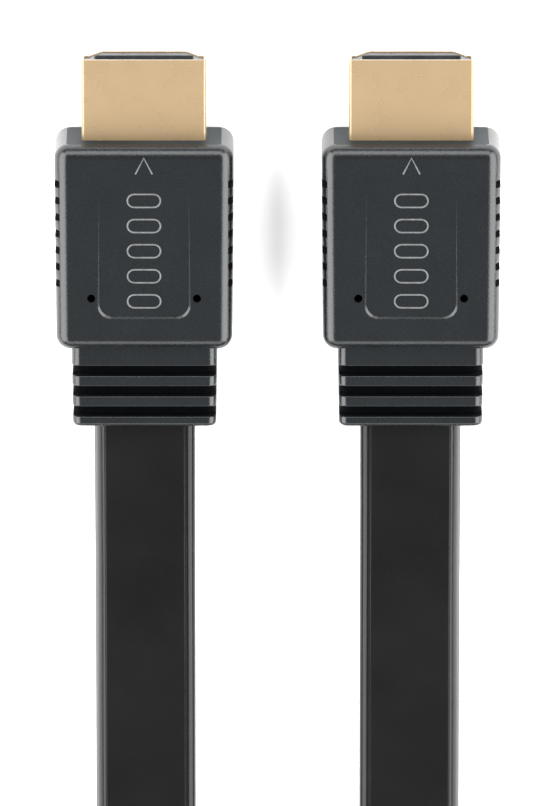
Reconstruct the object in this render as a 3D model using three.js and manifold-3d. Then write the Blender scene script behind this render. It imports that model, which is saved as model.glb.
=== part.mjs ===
// A flat audio and video cable with a moulded plug on each end, as it lies on a floor.
//
// Frame, in millimetres: X runs across the pair of plugs, Y towards the plug mouths and Z up. The origin
// lies on the floor, under the middle of the pair of plugs. The cord leaves both plugs along -Y, sinks to
// the floor, and its slack is wound on edge into an oval hank that two straps hold.

import * as THREE from 'three';
import * as BufferGeometryUtils from 'three/addons/utils/BufferGeometryUtils.js';
import Module from 'manifold-3d';

const wasm = await Module();
wasm.setup();

// Driving dimensions of a plug

const PLUG_SPACING = 29.8; // between the middles of the two plugs

const BODY_WIDTH = 20; // at the front
const BODY_REAR_WIDTH = 19.7;
const BODY_LENGTH = 23.5;
const BODY_HEIGHT = 10.8;
const BODY_CORNER = 1.5; // radius of the corners, seen from above
const BODY_EDGE = 1.45; // radius along the upper and lower edges
const MID_HEIGHT = BODY_HEIGHT / 2;

const RELIEF_LENGTH = 9.2; // ribbed strain relief behind the body
const RELIEF_FRONT_WIDTH = 16.3;
const RELIEF_END_WIDTH = 16.1;
const RELIEF_HEIGHT = 7.4;
const RELIEF_CORNER = 1;
const RELIEF_EDGE = 0.9;
const RELIEF_COLLAR = 2.15; // plain stretch between the body and the first slot
const SLOT_COUNT = 3;
const SLOT_WIDTH = 1.16;
const SLOT_DEPTH = 1.55;

const SHELL_EXPOSED = 9.2;
const SHELL_EMBEDDED = 5;
const SHELL_WIDTH = 13.9;
const SHELL_HEIGHT = 4.45;
const SHELL_FOOT_WIDTH = 9.7; // the narrow side of the D
const SHELL_CHEEK = 2.3; // height of the upright sides, from the wide face down
const SHELL_LEDGE = 0.7; // how far the sides step in at the foot of the cheeks
const SHELL_CORNER = 0.45;
const SHELL_WALL = 0.3;
const POCKET_CLEARANCE = 0.1; // between the shell and its pocket in the body

const INSULATOR_CLEARANCE = 0.05;
const INSULATOR_SETBACK = 0.1; // from the mouth back to the face of the insulator
const TONGUE_SLOT_WIDTH = 11;
const TONGUE_SLOT_HEIGHT = 1.8;
const TONGUE_SLOT_DEPTH = 8.2;
const TONGUE_SLOT_RISE = 0.5; // above the middle of the shell

const CONTACT_ROWS = [{ count: 10, side: 1 }, { count: 9, side: -1 }];
const CONTACT_PITCH = 1;
const CONTACT_WIDTH = 0.4;
const CONTACT_THICKNESS = 0.2;
const CONTACT_BUMP = 0.22; // how far the sprung nose stands off the strip
const CONTACT_NOSE_LENGTH = 1.6;
const CONTACT_SETBACK = 0.7; // from the face of the insulator

const GRIP_COUNT = 7;
const GRIP_PITCH = 1.9;
const GRIP_FIRST_Y = 7.37;
const GRIP_WIDTH = 0.82;
const GRIP_DEPTH = 0.6;
const GRIP_WEB = 1.6; // full-width band left at mid height, between upper and lower notches

const PANEL_WIDTH = 10;
const PANEL_FRONT_Y = 6.7;
const PANEL_REAR_Y = -7.8;
const PANEL_CORNER = 1.5;
const PANEL_DEPTH = 0.2; // at the rear; the floor rises to nothing at the front

const PIN_HOLE_DIAMETER = 0.94;
const PIN_HOLE_DEPTH = 1.2;
const PIN_HOLE_X = 5.9;
const PIN_HOLE_Y = -5.65;

// Driving dimensions of the cord and its hank

const CORD_WIDTH = 11.3;
const CORD_THICKNESS = 3.8;
const CORD_CORNER = 1;
const CORD_CORNER_SEGMENTS = 3;
const CORD_CLEARANCE = 0.3;
const SOCKET_DEPTH = 0.9;

const TURN_PITCH = 4.1; // from turn to turn, flat side to flat side
const TURN_COUNT = 3;
const HANK_BEND = 34; // bend radius of the innermost fold
const HANK_NEAR_Y = -147; // where the near fold meets the straight runs
const HANK_RUN = 105.5;
const HANK_TAIL_Y = -172; // where the inner end leaves the right-hand runs
const FOLD_SEGMENTS = 20;

const STRAP_WIDTH = 12;
const STRAP_THICKNESS = 1;
const STRAP_CLEARANCE = 0.3;
const STRAP_CORNER = 1.5;
const LIFT_REACH = 40; // the runs rise over their strap within this distance of it
const LIFT_SEGMENTS = 10;

// The leads: x, y, z of the middle of the cord, and its turn in degrees, 0 flat and 90 on edge

const LEAD_STEPS = 36;
const LEFT_LEAD = [
  [-14.9, -20.35, 5.4, 0],
  [-14.9, -26, 5.15, 0],
  [-14.9, -34, 4.1, 0],
  [-14.9, -42, 2.8, 0],
  [-14.9, -50, 2.05, 0],
  [-14.9, -60, 1.97, 0],
  [-14.9, -69, 2.07, 0],
  [-14.9, -76, 2.62, 8],
  [-14.9, -82, 3.78, 24],
  [-14.9, -88, 4.85, 42],
  [-15.71, -94.96, 5.6, 62],
  [-18.09, -101.97, 5.79, 78],
  [-21.75, -108.06, 5.72, 87],
  [-26.76, -113.4, 5.67, 90],
  [-31.85, -118.56, 5.66, 90],
  [-36.27, -124.88, 5.66, 90],
  [-39.53, -131.87, 5.66, 90],
  [-41.53, -139.32, 5.66, 90],
  [-42.2, -146.7, 5.66, 90],
];
const RIGHT_LEAD = [
  [14.9, -20.35, 5.4, 0],
  [14.9, -26, 5.15, 0],
  [14.9, -34, 4.1, 0],
  [14.9, -42, 2.8, 0],
  [14.9, -50, 2.05, 0],
  [14.9, -60, 1.96, 0],
  [14.9, -68, 2.05, 0],
  [14.9, -77.5, 3.3, 0],
  [14.9, -87, 7.75, 0],
  [14.9, -96.5, 12.2, 0],
  [14.9, -106, 13.6, 0],
  [14.9, -112.5, 13.62, 0],
  [15.1, -119, 13.55, 0],
  [15.7, -124, 13.1, 9],
  [17.1, -129, 12.1, 22],
  [20.0, -136, 10.0, 44],
  [24.45, -143, 8.0, 65],
  [28.9, -150, 6.6, 80],
  [31.8, -157, 5.9, 88],
  [33.5, -164, 5.7, 90],
  [34.0, -171.7, 5.66, 90],
];

// Places that follow from the sizes

const PLUG_LENGTH = SHELL_EXPOSED + BODY_LENGTH + RELIEF_LENGTH;
const MOUTH_Y = PLUG_LENGTH / 2;
const BODY_FRONT_Y = MOUTH_Y - SHELL_EXPOSED;
const BODY_REAR_Y = BODY_FRONT_Y - BODY_LENGTH;
const RELIEF_END_Y = BODY_REAR_Y - RELIEF_LENGTH;
const POCKET_FLOOR_Y = BODY_FRONT_Y - SHELL_EMBEDDED;
const RIB_WIDTH = (RELIEF_LENGTH - RELIEF_COLLAR) / SLOT_COUNT - SLOT_WIDTH;
const INSULATOR_FACE_Y = MOUTH_Y - INSULATOR_SETBACK;
const TONGUE_FLOOR_Y = INSULATOR_FACE_Y - TONGUE_SLOT_DEPTH;
const TONGUE_Z = MID_HEIGHT + TONGUE_SLOT_RISE;
const STRAP_LIFT = STRAP_THICKNESS + STRAP_CLEARANCE;
const BUNDLE_WIDTH = (TURN_COUNT - 1) * TURN_PITCH + CORD_THICKNESS;
const STRAP_Y = HANK_NEAR_Y - HANK_RUN / 2;
const CUT_MARGIN = 2; // how far a cutting body runs past the face that it opens

// Materials

const rubber = new THREE.MeshStandardMaterial({ color: 0x2f3235, roughness: 0.55, metalness: 0 });
const gilt = new THREE.MeshStandardMaterial({ color: 0xd0b48c, roughness: 0.28, metalness: 1 });
const carrier = new THREE.MeshStandardMaterial({ color: 0x1c1d20, roughness: 0.35, metalness: 0 });
const contactMetal = new THREE.MeshStandardMaterial({ color: 0xdcb45a, roughness: 0.25, metalness: 1 });
const jacket = new THREE.MeshStandardMaterial({ color: 0x2b2c2e, roughness: 0.5, metalness: 0 });
const strapCloth = new THREE.MeshStandardMaterial({ color: 0x1b1b1d, roughness: 0.9, metalness: 0 });

// Solids from three.js geometry, and back

function solidOf(geometry) {
  const bare = geometry.clone();
  bare.deleteAttribute('normal');
  bare.deleteAttribute('uv');
  const merged = BufferGeometryUtils.mergeVertices(bare, 1e-5);
  const mesh = new wasm.Mesh({
    numProp: 3,
    vertProperties: new Float32Array(merged.attributes.position.array),
    triVerts: new Uint32Array(merged.index.array),
  });
  return new wasm.Manifold(mesh);
}

function geometryOf(solid) {
  const mesh = solid.getMesh();
  const geometry = new THREE.BufferGeometry();
  geometry.setAttribute('position', new THREE.BufferAttribute(new Float32Array(mesh.vertProperties), 3));
  geometry.setIndex(new THREE.BufferAttribute(new Uint32Array(mesh.triVerts), 1));
  geometry.computeVertexNormals();
  return geometry;
}

// Outlines

function rectangle(x0, y0, x1, y1) {
  return [new THREE.Vector2(x0, y0), new THREE.Vector2(x1, y0), new THREE.Vector2(x1, y1), new THREE.Vector2(x0, y1)];
}

// Moves each side of an outline inwards by distance. The corners run anticlockwise.
function inset(corners, distance) {
  return corners.map((corner, i) => {
    const before = corners[(i + corners.length - 1) % corners.length];
    const after = corners[(i + 1) % corners.length];
    const into = corner.clone().sub(before).normalize();
    const out = after.clone().sub(corner).normalize();
    const miter = new THREE.Vector2(-into.y - out.y, into.x + out.x);
    return corner.clone().addScaledVector(miter, distance / (1 + into.dot(out)));
  });
}

// Rounds each corner of an outline with an arc, where radii holds one radius or one for each corner.
function rounded(corners, radii, segments) {
  const points = [];
  corners.forEach((corner, i) => {
    const radius = Array.isArray(radii) ? radii[i] : radii;
    if (radius <= 0) {
      points.push(corner.clone());
      return;
    }
    const before = corners[(i + corners.length - 1) % corners.length];
    const after = corners[(i + 1) % corners.length];
    const into = corner.clone().sub(before).normalize();
    const out = after.clone().sub(corner).normalize();
    const turn = Math.atan2(into.cross(out), into.dot(out));
    const reach = radius * Math.tan(Math.abs(turn) / 2);
    const start = corner.clone().addScaledVector(into, -reach);
    const middle = start.clone().addScaledVector(new THREE.Vector2(-into.y, into.x), Math.sign(turn) * radius);
    for (let step = 0; step <= segments; step += 1) {
      const arm = start.clone().sub(middle).rotateAround(new THREE.Vector2(), (turn * step) / segments);
      points.push(middle.clone().add(arm));
    }
  });
  return points;
}

function shapeOf(outline, hole) {
  const shape = new THREE.Shape(outline);
  if (hole) shape.holes.push(new THREE.Path(hole));
  return shape;
}

// Stands an outline drawn in X and Y up from z = bottom.
function upright(shape, bottom, height) {
  return new THREE.ExtrudeGeometry(shape, { depth: height, bevelEnabled: false }).translate(0, 0, bottom);
}

// Runs an outline drawn in X and Z from y = rear to y = front.
function lengthwise(shape, rear, front) {
  const geometry = new THREE.ExtrudeGeometry(shape, { depth: front - rear, bevelEnabled: false });
  return geometry.rotateX(Math.PI / 2).translate(0, front, 0);
}

// Runs an outline drawn in Y and Z from x = x0 to x = x1.
function sideways(shape, x0, x1) {
  const geometry = new THREE.ExtrudeGeometry(shape, { depth: x1 - x0, bevelEnabled: false });
  const turned = new THREE.Matrix4().makeBasis(
    new THREE.Vector3(0, 1, 0), new THREE.Vector3(0, 0, 1), new THREE.Vector3(1, 0, 0),
  );
  return geometry.applyMatrix4(turned).translate(x0, 0, 0);
}

// A slab whose upper and lower edges are rounded by edge.
function pillow(outline, height, edge, segments) {
  const geometry = new THREE.ExtrudeGeometry(shapeOf(outline), {
    depth: height - 2 * edge,
    bevelThickness: edge,
    bevelSize: edge,
    bevelOffset: -edge,
    bevelSegments: segments,
  });
  return geometry.translate(0, 0, edge);
}

function box(x0, x1, y0, y1, z0, z1) {
  return new THREE.BoxGeometry(x1 - x0, y1 - y0, z1 - z0).translate((x0 + x1) / 2, (y0 + y1) / 2, (z0 + z1) / 2);
}

function cordSection(grow) {
  const halfWidth = CORD_WIDTH / 2 + grow;
  const halfThickness = CORD_THICKNESS / 2 + grow;
  const corners = rectangle(-halfWidth, -halfThickness, halfWidth, halfThickness);
  return rounded(corners, CORD_CORNER + grow, CORD_CORNER_SEGMENTS);
}

// The plug's sub-parts, each around its own middle in X

// The D of the shell, drawn in X and Z around the middle of its height, wide side up
function shellCorners() {
  const half = SHELL_WIDTH / 2;
  const foot = SHELL_FOOT_WIDTH / 2;
  const top = SHELL_HEIGHT / 2;
  return [
    new THREE.Vector2(-foot, -top),
    new THREE.Vector2(foot, -top),
    new THREE.Vector2(half - SHELL_LEDGE, top - SHELL_CHEEK),
    new THREE.Vector2(half, top - SHELL_CHEEK),
    new THREE.Vector2(half, top),
    new THREE.Vector2(-half, top),
    new THREE.Vector2(-half, top - SHELL_CHEEK),
    new THREE.Vector2(SHELL_LEDGE - half, top - SHELL_CHEEK),
  ];
}

function shellOutline(distance) {
  const outline = rounded(inset(shellCorners(), distance), SHELL_CORNER - Math.max(distance, 0), 3);
  return outline.map((point) => point.setY(point.y + MID_HEIGHT));
}

function makeShell() {
  return lengthwise(shapeOf(shellOutline(0), shellOutline(SHELL_WALL)), POCKET_FLOOR_Y, MOUTH_Y);
}

function makeInsulator() {
  const outline = shapeOf(shellOutline(SHELL_WALL + INSULATOR_CLEARANCE));
  const block = solidOf(lengthwise(outline, POCKET_FLOOR_Y, INSULATOR_FACE_Y));
  const slot = box(
    -TONGUE_SLOT_WIDTH / 2, TONGUE_SLOT_WIDTH / 2,
    TONGUE_FLOOR_Y, INSULATOR_FACE_Y + CUT_MARGIN,
    TONGUE_Z - TONGUE_SLOT_HEIGHT / 2, TONGUE_Z + TONGUE_SLOT_HEIGHT / 2,
  );
  return geometryOf(block.subtract(solidOf(slot)));
}

// One sprung contact, lying against the upper (side 1) or lower (side -1) wall of the tongue slot
function makeContact(x, side) {
  const wall = TONGUE_Z + (side * TONGUE_SLOT_HEIGHT) / 2;
  const front = INSULATOR_FACE_Y - CONTACT_SETBACK;
  const nose = front - CONTACT_NOSE_LENGTH;
  const strip = wall - side * CONTACT_THICKNESS;
  const profile = [
    new THREE.Vector2(TONGUE_FLOOR_Y, wall),
    new THREE.Vector2(TONGUE_FLOOR_Y, strip),
    new THREE.Vector2(nose, strip),
    new THREE.Vector2((nose + front) / 2, strip - side * CONTACT_BUMP),
    new THREE.Vector2(front, strip),
    new THREE.Vector2(front, wall),
  ];
  return sideways(shapeOf(profile), x - CONTACT_WIDTH / 2, x + CONTACT_WIDTH / 2);
}

function reliefOutline() {
  const front = BODY_REAR_Y + BODY_CORNER;
  const corners = [
    new THREE.Vector2(-RELIEF_END_WIDTH / 2, RELIEF_END_Y),
    new THREE.Vector2(RELIEF_END_WIDTH / 2, RELIEF_END_Y),
    new THREE.Vector2(RELIEF_FRONT_WIDTH / 2, BODY_REAR_Y),
    new THREE.Vector2(RELIEF_FRONT_WIDTH / 2, front),
    new THREE.Vector2(-RELIEF_FRONT_WIDTH / 2, front),
    new THREE.Vector2(-RELIEF_FRONT_WIDTH / 2, BODY_REAR_Y),
  ];
  return rounded(corners, [RELIEF_CORNER, RELIEF_CORNER, 0, 0, 0, 0], 3);
}

function reliefSlots() {
  const cuts = [];
  const half = RELIEF_FRONT_WIDTH / 2 + CUT_MARGIN;
  const top = MID_HEIGHT + RELIEF_HEIGHT / 2;
  const bottom = MID_HEIGHT - RELIEF_HEIGHT / 2;
  for (let i = 0; i < SLOT_COUNT; i += 1) {
    const front = BODY_REAR_Y - RELIEF_COLLAR - i * (SLOT_WIDTH + RIB_WIDTH);
    cuts.push(box(-half, half, front - SLOT_WIDTH, front, top - SLOT_DEPTH, top + CUT_MARGIN));
    cuts.push(box(-half, half, front - SLOT_WIDTH, front, bottom - CUT_MARGIN, bottom + SLOT_DEPTH));
  }
  return cuts;
}

function gripNotches() {
  const cuts = [];
  const inner = BODY_WIDTH / 2 - GRIP_DEPTH;
  const outer = BODY_WIDTH / 2 + CUT_MARGIN;
  for (let i = 0; i < GRIP_COUNT; i += 1) {
    const y0 = GRIP_FIRST_Y - i * GRIP_PITCH - GRIP_WIDTH / 2;
    const y1 = y0 + GRIP_WIDTH;
    for (const [x0, x1] of [[inner, outer], [-outer, -inner]]) {
      cuts.push(box(x0, x1, y0, y1, MID_HEIGHT + GRIP_WEB / 2, BODY_HEIGHT + CUT_MARGIN));
      cuts.push(box(x0, x1, y0, y1, -CUT_MARGIN, MID_HEIGHT - GRIP_WEB / 2));
    }
  }
  return cuts;
}

// The thumb panel: a shallow recess whose floor slopes from nothing at the front down to the rear
function panelCut() {
  const corners = rectangle(-PANEL_WIDTH / 2, PANEL_REAR_Y, PANEL_WIDTH / 2, PANEL_FRONT_Y);
  const outline = rounded(corners, [PANEL_CORNER, PANEL_CORNER, 0, 0], 4);
  const geometry = upright(shapeOf(outline), BODY_HEIGHT, CUT_MARGIN);
  const position = geometry.attributes.position;
  for (let i = 0; i < position.count; i += 1) {
    const share = (PANEL_FRONT_Y - position.getY(i)) / (PANEL_FRONT_Y - PANEL_REAR_Y);
    if (position.getZ(i) < BODY_HEIGHT + CUT_MARGIN / 2) position.setZ(i, BODY_HEIGHT - share * PANEL_DEPTH);
  }
  return geometry;
}

function pinHole(x) {
  const hole = new THREE.CylinderGeometry(
    PIN_HOLE_DIAMETER / 2, PIN_HOLE_DIAMETER / 2, PIN_HOLE_DEPTH + CUT_MARGIN, 10,
  );
  return hole.rotateX(Math.PI / 2).translate(x, PIN_HOLE_Y, BODY_HEIGHT + (CUT_MARGIN - PIN_HOLE_DEPTH) / 2);
}

function cordSocket() {
  const outline = cordSection(CORD_CLEARANCE).map((point) => point.setY(point.y + MID_HEIGHT));
  return lengthwise(shapeOf(outline), RELIEF_END_Y - CUT_MARGIN, RELIEF_END_Y + SOCKET_DEPTH);
}

function makeOvermould() {
  const corners = [
    new THREE.Vector2(-BODY_REAR_WIDTH / 2, BODY_REAR_Y),
    new THREE.Vector2(BODY_REAR_WIDTH / 2, BODY_REAR_Y),
    new THREE.Vector2(BODY_WIDTH / 2, BODY_FRONT_Y),
    new THREE.Vector2(-BODY_WIDTH / 2, BODY_FRONT_Y),
  ];
  const body = solidOf(pillow(rounded(corners, BODY_CORNER, 4), BODY_HEIGHT, BODY_EDGE, 3));
  const relief = pillow(reliefOutline(), RELIEF_HEIGHT, RELIEF_EDGE, 2);
  relief.translate(0, 0, MID_HEIGHT - RELIEF_HEIGHT / 2);
  const pocket = lengthwise(shapeOf(shellOutline(-POCKET_CLEARANCE)), POCKET_FLOOR_Y, MOUTH_Y);
  const cuts = [
    pocket, panelCut(), pinHole(PIN_HOLE_X), pinHole(-PIN_HOLE_X), cordSocket(),
    ...reliefSlots(), ...gripNotches(),
  ];
  const cast = body.add(solidOf(relief));
  return geometryOf(cuts.reduce((solid, cut) => solid.subtract(solidOf(cut)), cast));
}

// The cord

// A cord's route: its middle line, and frames that carry the flat section's turn
class LaidRoute extends THREE.Curve {
  constructor(points) {
    super();
    this.line = new THREE.CatmullRomCurve3(points.map(([x, y, z]) => new THREE.Vector3(x, y, z)), false, 'centripetal');
    this.turns = new THREE.SplineCurve(points.map(([, , , turn], i) => new THREE.Vector2(i, turn)));
  }

  getPoint(t, target = new THREE.Vector3()) {
    return this.line.getPoint(t, target);
  }

  computeFrenetFrames(steps) {
    const frames = { tangents: [], normals: [], binormals: [] };
    const up = new THREE.Vector3(0, 0, 1);
    for (let i = 0; i <= steps; i += 1) {
      const t = this.getUtoTmapping(i / steps);
      const tangent = this.getTangent(t);
      const across = new THREE.Vector3().crossVectors(up, tangent).normalize();
      const turn = THREE.MathUtils.degToRad(this.turns.getPoint(t).y);
      const normal = across.applyAxisAngle(tangent, turn);
      frames.tangents.push(tangent);
      frames.normals.push(normal);
      frames.binormals.push(new THREE.Vector3().crossVectors(tangent, normal));
    }
    return frames;
  }
}

function makeLead(points) {
  const section = shapeOf(cordSection(0));
  return new THREE.ExtrudeGeometry(section, { steps: LEAD_STEPS, extrudePath: new LaidRoute(points) });
}

// Half of a flat ring, which a fold of the hank fills
function fold(middleX, middleY, outer, inner, from, to) {
  const shape = new THREE.Shape();
  shape.absarc(middleX, middleY, outer, from, to, false);
  shape.absarc(middleX, middleY, inner, to, from, true);
  const options = { depth: CORD_WIDTH, bevelEnabled: false, curveSegments: FOLD_SEGMENTS };
  return solidOf(new THREE.ExtrudeGeometry(shape, options));
}

// How far the turns rise above the floor to pass over the strap under them
function lift(y) {
  const share = Math.min(Math.abs(y - STRAP_Y) / LIFT_REACH, 1);
  return STRAP_LIFT * Math.cos((share * Math.PI) / 2) ** 2;
}

// The straight runs between x0 and x1, seen from the side as a band that rises over the strap
function straightRuns(x0, x1, far, near) {
  const places = [far];
  for (let i = 0; i <= LIFT_SEGMENTS; i += 1) {
    places.push(STRAP_Y - LIFT_REACH + (2 * LIFT_REACH * i) / LIFT_SEGMENTS);
  }
  places.push(near);
  const lower = places.map((y) => new THREE.Vector2(y, lift(y)));
  const upper = lower.map((point) => new THREE.Vector2(point.x, point.y + CORD_WIDTH)).reverse();
  return solidOf(sideways(shapeOf([...lower, ...upper]), x0, x1));
}

// One solid of the outer shape of all the turns, which stand on edge with their flat sides together. The
// near fold turns half a pitch to the side of the far one, so each turn lands one pitch further in. The
// outline steps in where the outer lead comes on, and again where the inner one leaves.
function makeHank() {
  const half = CORD_THICKNESS / 2;
  const outer = HANK_BEND + (TURN_COUNT - 1) * TURN_PITCH + half;
  const inner = HANK_BEND - half;
  const shift = TURN_PITCH / 2;
  const far = HANK_NEAR_Y - HANK_RUN;
  const beforeTail = box(
    inner - CUT_MARGIN, inner + TURN_PITCH,
    HANK_TAIL_Y, HANK_NEAR_Y,
    -CUT_MARGIN, CORD_WIDTH + STRAP_LIFT + CUT_MARGIN,
  );
  return geometryOf(
    straightRuns(inner, outer, far, HANK_NEAR_Y)
      .subtract(solidOf(beforeTail))
      .add(straightRuns(-outer, -inner, far, HANK_NEAR_Y))
      .add(fold(shift, HANK_NEAR_Y, outer - shift, inner + shift, 0, Math.PI))
      .add(fold(0, far, outer, inner, Math.PI, 2 * Math.PI)),
  );
}

function makeStrap() {
  const halfX = BUNDLE_WIDTH / 2 + STRAP_CLEARANCE;
  const bottom = STRAP_THICKNESS;
  const top = STRAP_LIFT + CORD_WIDTH + STRAP_CLEARANCE;
  const inside = rectangle(-halfX, bottom, halfX, top);
  const outside = inset(inside, -STRAP_THICKNESS);
  const shape = shapeOf(
    rounded(outside, STRAP_CORNER, 3),
    rounded(inside, STRAP_CORNER - STRAP_THICKNESS, 3),
  );
  return lengthwise(shape, STRAP_Y - STRAP_WIDTH / 2, STRAP_Y + STRAP_WIDTH / 2);
}

// Assembly

const cable = new THREE.Group();

function place(parent, name, geometry, material) {
  const mesh = new THREE.Mesh(geometry, material);
  mesh.name = name;
  parent.add(mesh);
  return mesh;
}

function addPlug(side, x) {
  const plug = new THREE.Group();
  plug.position.x = x;
  place(plug, `${side}_plug_overmould`, makeOvermould(), rubber);
  place(plug, `${side}_plug_shell`, makeShell(), gilt);
  place(plug, `${side}_plug_insulator`, makeInsulator(), carrier);
  let number = 0;
  for (const row of CONTACT_ROWS) {
    for (let i = 0; i < row.count; i += 1) {
      number += 1;
      const contactX = (i - (row.count - 1) / 2) * CONTACT_PITCH;
      const name = `${side}_plug_contact_${String(number).padStart(2, '0')}`;
      place(plug, name, makeContact(contactX, row.side), contactMetal);
    }
  }
  cable.add(plug);
}

addPlug('left', -PLUG_SPACING / 2);
addPlug('right', PLUG_SPACING / 2);

place(cable, 'cord_left_lead', makeLead(LEFT_LEAD), jacket);
place(cable, 'cord_right_lead', makeLead(RIGHT_LEAD), jacket);
place(cable, 'cord_hank', makeHank(), jacket);

const strapX = HANK_BEND + ((TURN_COUNT - 1) * TURN_PITCH) / 2;
place(cable, 'hank_strap_left', makeStrap(), strapCloth).position.x = -strapX;
place(cable, 'hank_strap_right', makeStrap(), strapCloth).position.x = strapX;

export default cable;
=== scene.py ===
"""Dresses a flat video cable: two moulded plugs, a cord, and the hank that its slack is wound into.

Lengths are metres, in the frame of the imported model: X across the two plugs, Y towards their mouths, Z up.
"""

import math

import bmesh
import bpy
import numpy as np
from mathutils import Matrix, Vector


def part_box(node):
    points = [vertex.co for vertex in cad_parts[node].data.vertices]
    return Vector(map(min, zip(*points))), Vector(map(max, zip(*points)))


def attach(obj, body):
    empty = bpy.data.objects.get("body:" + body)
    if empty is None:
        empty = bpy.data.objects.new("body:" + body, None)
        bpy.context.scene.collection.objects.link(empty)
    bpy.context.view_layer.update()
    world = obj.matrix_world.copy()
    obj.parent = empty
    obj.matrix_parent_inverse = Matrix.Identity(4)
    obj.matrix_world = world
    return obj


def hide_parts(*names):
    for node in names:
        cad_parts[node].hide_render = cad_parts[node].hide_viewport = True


bl_info = {
    "name": "Flat video cable",
    "version": (1, 0, 0),
    "blender": (4, 5, 0),
    "location": "3D View > Sidebar > Cable",
    "description": "Models and finishes a flat cable with a moulded plug on each end",
    "category": "Object",
}

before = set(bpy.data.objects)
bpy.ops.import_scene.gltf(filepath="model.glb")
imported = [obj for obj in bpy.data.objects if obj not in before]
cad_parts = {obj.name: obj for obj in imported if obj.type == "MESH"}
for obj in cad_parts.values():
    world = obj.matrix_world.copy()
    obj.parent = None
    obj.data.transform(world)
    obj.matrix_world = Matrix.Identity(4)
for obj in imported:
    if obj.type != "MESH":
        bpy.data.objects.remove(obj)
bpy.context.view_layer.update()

SIDES = ("left", "right")

# Places and small sizes on one plug, measured from its middle line
PIN_HOLE_X = 0.0059
PIN_HOLE_Y = -0.00565
PIN_HOLE_REACH = 0.0024
PANEL_BEHIND = 0.00395
PANEL_BEFORE = 0.00505
PANEL_RISE = 0.0006
RELIEF_CORNER = 0.001
RELIEF_SINK = 0.0015
RIB_EDGE = 0.00013
LAST_RIB_EDGE = 0.00055
CORE_INSET = 0.00012
CORE_CORNER = 0.0009
NOTCH_CORNER = 0.00016
NOTCH_REACH = 0.008
GAP = 0.00003
PAST = 0.001
SEAM_HALF_WIDTH = 0.00003
SEAM_DEPTH = 0.0001
CARRIER_GAP = 0.00005
TONGUE_SLOT_HALF_WIDTH = 0.0055
TONGUE_SLOT_HALF_HEIGHT = 0.0009
TONGUE_SLOT_LENGTH = 0.0082
TONGUE_SLOT_RISE = 0.0005
TONGUE_SLOT_CORNER = 0.0002

# The raised lines: the arrow's half width and its two ends along Y, and the column of bars
LINE_RADIUS = 0.0001
ARROW_HALF_WIDTH = 0.00094
ARROW_REAR = 0.00866
ARROW_TIP = 0.0105
BAR_COUNT = 5
BAR_FIRST_Y = 0.0056
BAR_PITCH = 0.0029
BAR_HALF_WIDTH = 0.00185
BAR_HALF_HEIGHT = 0.00075

# The faint groove beside each edge of the cord, and how finely its route is divided
GROOVE_DEPTH = 0.000035
GROOVE_INSET = 0.00012
GROOVE_WIDTH = 0.0001
LEAD_STEPS = 6
RUN_STEP = 0.004
FOLD_STEPS = 36

# The tape of the straps
TAPE_THICKNESS = 0.001
TAPE_CORNER = 0.0016
FLAP_RISE = 0.0008

# Each light's name, place, width, height and power
LIGHTS = (
    ("left_softbox", (-0.95, 0.0, 0.72), 2.4, 1.2, 70.0),
    ("right_softbox", (0.95, 0.0, 0.72), 2.4, 1.2, 70.0),
    ("front_softbox", (0.0, 1.1, 0.8), 1.2, 0.7, 15.0),
    ("rear_softbox", (0.0, -1.1, 0.7), 1.2, 0.5, 7.0),
    ("overhead_softbox", (0.0, -0.27, 1.0), 0.6, 0.6, 0.33),
)
WORLD_STRENGTH = 0.2

# The camera, far enough away for a picture that is close to a parallel view
CAMERA_LEAN = math.radians(15.1)
CAMERA_DISTANCE = 1.5
CAMERA_AIM = Vector((-0.00035, -0.02062, 0.0))
PICTURE_HEIGHT = 0.0908

# The cord's route out of each plug: x, y and z of its middle, and its turn in degrees, 90 on edge
LEFT_LEAD = [
    (-0.0149, -0.02035, 0.0054, 0),
    (-0.0149, -0.026, 0.00515, 0),
    (-0.0149, -0.034, 0.0041, 0),
    (-0.0149, -0.042, 0.0028, 0),
    (-0.0149, -0.05, 0.00205, 0),
    (-0.0149, -0.06, 0.00197, 0),
    (-0.0149, -0.069, 0.00207, 0),
    (-0.0149, -0.076, 0.00262, 8),
    (-0.0149, -0.082, 0.00378, 24),
    (-0.0149, -0.088, 0.00485, 42),
    (-0.01571, -0.09496, 0.0056, 62),
    (-0.01809, -0.10197, 0.00579, 78),
    (-0.02175, -0.10806, 0.00572, 87),
    (-0.02676, -0.1134, 0.00567, 90),
    (-0.03185, -0.11856, 0.00566, 90),
    (-0.03627, -0.12488, 0.00566, 90),
    (-0.03953, -0.13187, 0.00566, 90),
    (-0.04153, -0.13932, 0.00566, 90),
    (-0.0422, -0.1467, 0.00566, 90),
]
RIGHT_LEAD = [
    (0.0149, -0.02035, 0.0054, 0),
    (0.0149, -0.026, 0.00515, 0),
    (0.0149, -0.034, 0.0041, 0),
    (0.0149, -0.042, 0.0028, 0),
    (0.0149, -0.05, 0.00205, 0),
    (0.0149, -0.06, 0.00196, 0),
    (0.0149, -0.068, 0.00205, 0),
    (0.0149, -0.0775, 0.0033, 0),
    (0.0149, -0.087, 0.00775, 0),
    (0.0149, -0.0965, 0.0122, 0),
    (0.0149, -0.106, 0.0136, 0),
    (0.0149, -0.1125, 0.01362, 0),
    (0.0151, -0.119, 0.01355, 0),
    (0.0157, -0.124, 0.0131, 9),
    (0.0171, -0.129, 0.0121, 22),
    (0.02, -0.136, 0.01, 44),
    (0.02445, -0.143, 0.008, 65),
    (0.0289, -0.15, 0.0066, 80),
    (0.0318, -0.157, 0.0059, 88),
    (0.0335, -0.164, 0.0057, 90),
    (0.034, -0.1717, 0.00566, 90),
]


def length_property(name, description, default):
    return bpy.props.FloatProperty(
        name=name, description=description, default=default, min=0.0, precision=5, unit="LENGTH"
    )


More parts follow.
